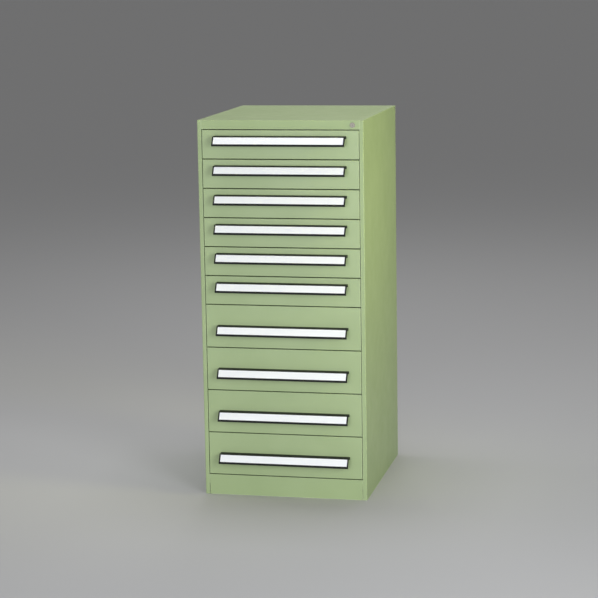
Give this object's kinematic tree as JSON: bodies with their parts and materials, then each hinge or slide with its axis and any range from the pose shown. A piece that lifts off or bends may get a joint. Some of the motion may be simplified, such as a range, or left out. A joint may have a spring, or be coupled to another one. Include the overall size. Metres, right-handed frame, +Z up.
{
  "type": "tool cabinet",
  "caption": "Tall free-standing steel tool cabinet with a stack of low and deep full-width drawers, each with a sloped label pull, on telescopic slides with one central lock.",
  "frame": {"origin": "on the floor, under the middle of the casing's footprint, handles not counted", "axes": "+Z up, -Y out of the drawer fronts towards the user, +X to the user's right"},
  "size_m": [0.572, 0.682, 1.304],
  "materials": {
    "green_paint": "satin powder coat, pale green",
    "zinc_steel": "bright zinc plate",
    "pull_plastic": "fine-grained dark moulding",
    "label_card": "smooth white card",
    "lock_chrome": "polished",
    "guide_plastic": "natural nylon"
  },
  "bodies": {
    "casing": {"side_panel_left": "green_paint", "side_panel_right": "green_paint", "rear_panel": "green_paint", "top_panel": "green_paint", "header_rail": "green_paint", "base_pan": "green_paint", "plinth_panel": "green_paint", "upright_front_left": "zinc_steel", "upright_front_right": "zinc_steel", "upright_rear_left": "zinc_steel", "upright_rear_right": "zinc_steel", "cabinet_slides_left": "zinc_steel", "cabinet_slides_right": "zinc_steel", "rear_rivets": "zinc_steel", "lock_housing": "lock_chrome", "lock_nut": "lock_chrome", "lock_bar_guides": "guide_plastic"},
    "drawer_01": {"drawer_01_box": "green_paint", "drawer_01_pull": "pull_plastic", "drawer_01_label": "label_card"},
    "drawer_01_mid": {"drawer_01_slides": "zinc_steel"},
    "drawer_02": {"drawer_02_box": "green_paint", "drawer_02_pull": "pull_plastic", "drawer_02_label": "label_card"},
    "drawer_02_mid": {"drawer_02_slides": "zinc_steel"},
    "drawer_03": {"drawer_03_box": "green_paint", "drawer_03_pull": "pull_plastic", "drawer_03_label": "label_card"},
    "drawer_03_mid": {"drawer_03_slides": "zinc_steel"},
    "drawer_04": {"drawer_04_box": "green_paint", "drawer_04_pull": "pull_plastic", "drawer_04_label": "label_card"},
    "drawer_04_mid": {"drawer_04_slides": "zinc_steel"},
    "drawer_05": {"drawer_05_box": "green_paint", "drawer_05_pull": "pull_plastic", "drawer_05_label": "label_card"},
    "drawer_05_mid": {"drawer_05_slides": "zinc_steel"},
    "drawer_06": {"drawer_06_box": "green_paint", "drawer_06_pull": "pull_plastic", "drawer_06_label": "label_card"},
    "drawer_06_mid": {"drawer_06_slides": "zinc_steel"},
    "drawer_07": {"drawer_07_box": "green_paint", "drawer_07_pull": "pull_plastic", "drawer_07_label": "label_card"},
    "drawer_07_mid": {"drawer_07_slides": "zinc_steel"},
    "drawer_08": {"drawer_08_box": "green_paint", "drawer_08_pull": "pull_plastic", "drawer_08_label": "label_card"},
    "drawer_08_mid": {"drawer_08_slides": "zinc_steel"},
    "drawer_09": {"drawer_09_box": "green_paint", "drawer_09_pull": "pull_plastic", "drawer_09_label": "label_card"},
    "drawer_09_mid": {"drawer_09_slides": "zinc_steel"},
    "drawer_10": {"drawer_10_box": "green_paint", "drawer_10_pull": "pull_plastic", "drawer_10_label": "label_card"},
    "drawer_10_mid": {"drawer_10_slides": "zinc_steel"},
    "lock_bar": {"lock_bar": "zinc_steel"},
    "lock_plug": {"lock_plug": "lock_chrome", "lock_cam": "lock_chrome"}
  },
  "joints": [
    {"name": "drawer_01_slide", "type": "slide", "parent": "casing", "child": "drawer_01", "axis": [0, -1, 0], "range_m": [0, 0.56]},
    {"name": "drawer_01_mid_slide", "type": "slide", "parent": "casing", "child": "drawer_01_mid", "axis": [0, -1, 0], "range_m": [0, 0.28]},
    {"name": "drawer_02_slide", "type": "slide", "parent": "casing", "child": "drawer_02", "axis": [0, -1, 0], "range_m": [0, 0.56]},
    {"name": "drawer_02_mid_slide", "type": "slide", "parent": "casing", "child": "drawer_02_mid", "axis": [0, -1, 0], "range_m": [0, 0.28]},
    {"name": "drawer_03_slide", "type": "slide", "parent": "casing", "child": "drawer_03", "axis": [0, -1, 0], "range_m": [0, 0.56]},
    {"name": "drawer_03_mid_slide", "type": "slide", "parent": "casing", "child": "drawer_03_mid", "axis": [0, -1, 0], "range_m": [0, 0.28]},
    {"name": "drawer_04_slide", "type": "slide", "parent": "casing", "child": "drawer_04", "axis": [0, -1, 0], "range_m": [0, 0.56]},
    {"name": "drawer_04_mid_slide", "type": "slide", "parent": "casing", "child": "drawer_04_mid", "axis": [0, -1, 0], "range_m": [0, 0.28]},
    {"name": "drawer_05_slide", "type": "slide", "parent": "casing", "child": "drawer_05", "axis": [0, -1, 0], "range_m": [0, 0.56]},
    {"name": "drawer_05_mid_slide", "type": "slide", "parent": "casing", "child": "drawer_05_mid", "axis": [0, -1, 0], "range_m": [0, 0.28]},
    {"name": "drawer_06_slide", "type": "slide", "parent": "casing", "child": "drawer_06", "axis": [0, -1, 0], "range_m": [0, 0.56]},
    {"name": "drawer_06_mid_slide", "type": "slide", "parent": "casing", "child": "drawer_06_mid", "axis": [0, -1, 0], "range_m": [0, 0.28]},
    {"name": "drawer_07_slide", "type": "slide", "parent": "casing", "child": "drawer_07", "axis": [0, -1, 0], "range_m": [0, 0.56]},
    {"name": "drawer_07_mid_slide", "type": "slide", "parent": "casing", "child": "drawer_07_mid", "axis": [0, -1, 0], "range_m": [0, 0.28]},
    {"name": "drawer_08_slide", "type": "slide", "parent": "casing", "child": "drawer_08", "axis": [0, -1, 0], "range_m": [0, 0.56]},
    {"name": "drawer_08_mid_slide", "type": "slide", "parent": "casing", "child": "drawer_08_mid", "axis": [0, -1, 0], "range_m": [0, 0.28]},
    {"name": "drawer_09_slide", "type": "slide", "parent": "casing", "child": "drawer_09", "axis": [0, -1, 0], "range_m": [0, 0.56]},
    {"name": "drawer_09_mid_slide", "type": "slide", "parent": "casing", "child": "drawer_09_mid", "axis": [0, -1, 0], "range_m": [0, 0.28]},
    {"name": "drawer_10_slide", "type": "slide", "parent": "casing", "child": "drawer_10", "axis": [0, -1, 0], "range_m": [0, 0.56]},
    {"name": "drawer_10_mid_slide", "type": "slide", "parent": "casing", "child": "drawer_10_mid", "axis": [0, -1, 0], "range_m": [0, 0.28]},
    {"name": "lock_bar_lift", "type": "slide", "parent": "casing", "child": "lock_bar", "axis": [0, 0, 1], "range_m": [0, 0.01273]},
    {"name": "lock_turn", "type": "hinge", "parent": "casing", "child": "lock_plug", "pos_m": [0.249, -0.32, 1.288], "axis": [0, -1, 0], "range_deg": [0, 90]}
  ],
  "couplings": [
    {"joint": "drawer_01_mid_slide", "follows": "drawer_01_slide", "ratio": 0.5},
    {"joint": "drawer_02_mid_slide", "follows": "drawer_02_slide", "ratio": 0.5},
    {"joint": "drawer_03_mid_slide", "follows": "drawer_03_slide", "ratio": 0.5},
    {"joint": "drawer_04_mid_slide", "follows": "drawer_04_slide", "ratio": 0.5},
    {"joint": "drawer_05_mid_slide", "follows": "drawer_05_slide", "ratio": 0.5},
    {"joint": "drawer_06_mid_slide", "follows": "drawer_06_slide", "ratio": 0.5},
    {"joint": "drawer_07_mid_slide", "follows": "drawer_07_slide", "ratio": 0.5},
    {"joint": "drawer_08_mid_slide", "follows": "drawer_08_slide", "ratio": 0.5},
    {"joint": "drawer_09_mid_slide", "follows": "drawer_09_slide", "ratio": 0.5},
    {"joint": "drawer_10_mid_slide", "follows": "drawer_10_slide", "ratio": 0.5},
    {"joint": "lock_turn", "follows": "lock_bar_lift", "rad_per_m": 123.41}
  ]
}
